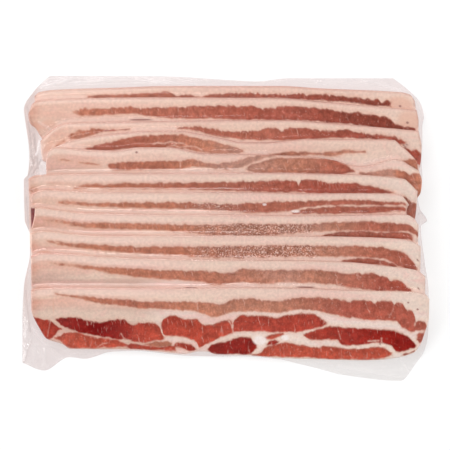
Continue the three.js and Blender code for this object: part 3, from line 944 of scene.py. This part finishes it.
UNDER_FILM_EVERY = 9  # the lower film keeps one in so many rows and columns
rows, columns = x.shape
points = np.stack([x, y, z], -1).reshape(-1, 3)
faces = grid_faces(rows, columns)
kept_rows = sorted({*range(0, rows, UNDER_FILM_EVERY), rows - 1})
kept_columns = sorted({*range(0, columns, UNDER_FILM_EVERY), columns - 1})
index = np.arange(rows * columns).reshape(rows, columns)
low_index = index.copy()
kept = np.ix_(kept_rows[1:-1], kept_columns[1:-1])
low_points = np.stack([x[kept], y[kept], np.zeros(x[kept].shape)], -1).reshape(-1, 3)
low_index[kept] = rows * columns + np.arange(len(low_points)).reshape(x[kept].shape)
for r0, r1 in zip(kept_rows[:-1], kept_rows[1:]):
    for c0, c1 in zip(kept_columns[:-1], kept_columns[1:]):
        back_side = index[r0, c0:c1 + 1] if r0 == 0 else low_index[r0, [c0, c1]]
        right_side = index[r0:r1 + 1, c1] if c1 == columns - 1 else low_index[[r0, r1], c1]
        front_side = index[r1, c0:c1 + 1] if r1 == rows - 1 else low_index[r1, [c0, c1]]
        left_side = index[r0:r1 + 1, c0] if c0 == 0 else low_index[[r0, r1], c0]
        ring = [*back_side[:-1], *right_side[:-1], *front_side[:0:-1], *left_side[:0:-1]]
        faces.append([int(v) for v in ring])
mesh = bpy.data.meshes.new("vacuum_film")
mesh.from_pydata(np.concatenate([points, low_points]) * MM, [], faces)
mesh.polygons.foreach_set("use_smooth", np.arange(len(faces)) < (rows - 1) * (columns - 1))
fold_values = np.concatenate([read_grid(fold_highlight_and_shade, x, y).reshape(-1), np.zeros(len(low_points))])
mesh.attributes.new("fold", "FLOAT", "POINT").data.foreach_set("value", fold_values)
mesh.validate()
film = bpy.data.objects.new("vacuum_film", mesh)
bpy.context.collection.objects.link(film)

FILM_TINT = (0.937, 0.9, 0.896, 1)
FILM_FRONT = (0.937, 0.925, 0.921, 1)
FILM_LEFT = (0.895, 0.83, 0.816, 1)
FILM_FOLD_SHADE = (0.74, 0.67, 0.66, 1)
FILM_HAZE_AND_HIGHLIGHT = (0.95, 0.91, 0.9, 1)
clear = bpy.data.materials.new("Clear vacuum film")
clear.use_nodes = True
tree = clear.node_tree
haze_and_highlight_skin = tree.nodes["Principled BSDF"]
haze_and_highlight_skin.inputs["Base Color"].default_value = FILM_HAZE_AND_HIGHLIGHT
haze_and_highlight_skin.inputs["Roughness"].default_value = 0.4
place = add_node(tree, "ShaderNodeTexCoord").outputs["Object"]
fine_crinkle = product(tree, noise(tree, place, 500, 2), 0.35)
crinkle = math_node(tree, "ADD", noise(tree, place, 120, 2), fine_crinkle)
crinkled = add_node(tree, "ShaderNodeBump", {"Height": crinkle, "Strength": 0.3, "Distance": 0.0003})
bump = crinkled.outputs["Normal"]
fold = add_node(tree, "ShaderNodeAttribute", attribute_name="fold").outputs["Fac"]
across, along, _ = add_node(tree, "ShaderNodeSeparateXYZ", {"Vector": place}).outputs

# The flap at the front right corner is clearest, and the film along the left seam dullest. Film that lies
# tight on the meat in the front and on the left mirrors a little more than the rest.
at_corner = product(tree, ease(tree, across, 0, 0.06), ease(tree, along, -0.06, -0.085))
tint = mix_colour(tree, at_corner, FILM_TINT, FILM_FRONT)
at_left = product(tree, ease(tree, across, -0.117, -0.123), ease(tree, along, -0.07, -0.04))
tint = mix_colour(tree, at_left, tint, FILM_LEFT)
# Painted shade along the folds given with a minus.
tint = mix_colour(tree, ease(tree, fold, 0, -1), tint, FILM_FOLD_SHADE)
see_through = add_node(tree, "ShaderNodeBsdfTransparent", {"Color": tint}).outputs[0]
gloss = {"Color": (1, 1, 1, 1), "Roughness": 0.09, "Normal": bump}
shine = add_node(tree, "ShaderNodeBsdfGlossy", gloss).outputs[0]
facing = add_node(tree, "ShaderNodeLayerWeight", {"Blend": 0.5, "Normal": bump}).outputs["Facing"]
tight = product(tree, ease(tree, along, 0.035, 0.055, 0.05, 0.02), ease(tree, across, 0, 0.03, 1, 0.5))
mirror_share = math_node(tree, "MULTIPLY_ADD", math_node(tree, "POWER", facing, 5.0), 0.25, tight)
film_shader = add_node(tree, "ShaderNodeMixShader", {0: mirror_share, 1: see_through, 2: shine}).outputs[0]
haze = ease(tree, noise(tree, place, 40, 3), 0.35, 0.7, 0.0, 0.01)
# The white layer adds a faint milky haze, and the painted highlight along folds and creases.
haze_and_fold_highlight = math_node(tree, "MULTIPLY_ADD", math_node(tree, "MAXIMUM", fold, 0.0), 0.5, haze)
with_haze_and_highlight = {0: haze_and_fold_highlight, 1: film_shader, 2: haze_and_highlight_skin.outputs[0]}
film_shader = add_node(tree, "ShaderNodeMixShader", with_haze_and_highlight).outputs[0]
tree.links.new(film_shader, tree.nodes["Material Output"].inputs["Surface"])
film.data.materials.append(clear)
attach(film, "root")
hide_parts("sealed_bag")

# Studio
# A plain white floor in a white tent, open above the pack so that flat film mirrors nothing bright, and
# darker at the back. A soft lamp stands on either side, and a long one at the back left draws lines of light
# along the steps.

FLOOR_HALF = 3.0
FLOOR_Z = -0.0004
floor_mesh = bpy.data.meshes.new("floor")
corners = [(-FLOOR_HALF, -FLOOR_HALF), (FLOOR_HALF, -FLOOR_HALF),
           (FLOOR_HALF, FLOOR_HALF), (-FLOOR_HALF, FLOOR_HALF)]
floor_mesh.from_pydata([(*corner, FLOOR_Z) for corner in corners], [], [(0, 1, 2, 3)])
floor = bpy.data.objects.new("floor", floor_mesh)
bpy.context.collection.objects.link(floor)
paper = bpy.data.materials.new("White paper")
paper.use_nodes = True
paper_skin = paper.node_tree.nodes["Principled BSDF"].inputs
paper_skin["Base Color"].default_value = (0.35, 0.35, 0.35, 1)
paper_skin["Roughness"].default_value = 0.9
paper_skin["Emission Color"].default_value = (1, 1, 1, 1)
paper_skin["Emission Strength"].default_value = 0.65
floor.data.materials.append(paper)

scene = bpy.context.scene
scene.view_settings.view_transform = "Standard"
scene.world = bpy.data.worlds.new("Studio")
scene.world.use_nodes = True
tree = scene.world.node_tree
heading = add_node(tree, "ShaderNodeTexCoord").outputs["Generated"]
opening = add_node(tree, "ShaderNodeVectorMath", {0: heading, 1: (0, -0.25, 0.97)}, operation="DOT_PRODUCT")
sky = tree.nodes["Background"]
sky.inputs["Color"].default_value = (1, 1, 1, 1)
around = ease(tree, opening.outputs["Value"], 0.94, 0.7, 0.05, 0.82)
behind = add_node(tree, "ShaderNodeSeparateXYZ", {"Vector": heading}).outputs["Y"]
strength = product(tree, around, ease(tree, behind, 0.1, 0.5, 1, 0.5))
tree.links.new(strength, sky.inputs["Strength"])

# Place, turn, size and power of each lamp.
LAMPS = {
    "left_lamp": ((-1.9, 0.0, 1.5), (0, -0.9, 0), (1.5, 2.0), 20.8),
    "right_lamp": ((1.9, 0.0, 1.5), (0, 0.9, 0), (1.5, 2.0), 17.0),
    "back_lamp": ((-0.95, 1.55, 1.85), (-0.7, 0, 0), (2.0, 1.5), 36.0),
}
for name, (location, turn, size, power) in LAMPS.items():
    lamp_data = bpy.data.lights.new(name, "AREA")
    lamp_data.shape = "RECTANGLE"
    lamp_data.size, lamp_data.size_y = size
    lamp_data.energy = power
    lamp = bpy.data.objects.new(name, lamp_data)
    lamp.location = location
    lamp.rotation_euler = turn
    bpy.context.collection.objects.link(lamp)

# The camera looks straight down, from far enough away that the pack shows almost without perspective.
PICTURE = 450  # pixels
PIXEL = 0.64  # millimetres of the pack that one pixel shows
CAMERA_HEIGHT = 1.8
camera_data = bpy.data.cameras.new("camera")
camera_data.sensor_width = 36
camera_data.lens = camera_data.sensor_width * CAMERA_HEIGHT / (PICTURE * PIXEL * MM)
camera = bpy.data.objects.new("camera", camera_data)
camera.location = (-0.0003, 0.0021, CAMERA_HEIGHT)
bpy.context.collection.objects.link(camera)
scene.camera = camera
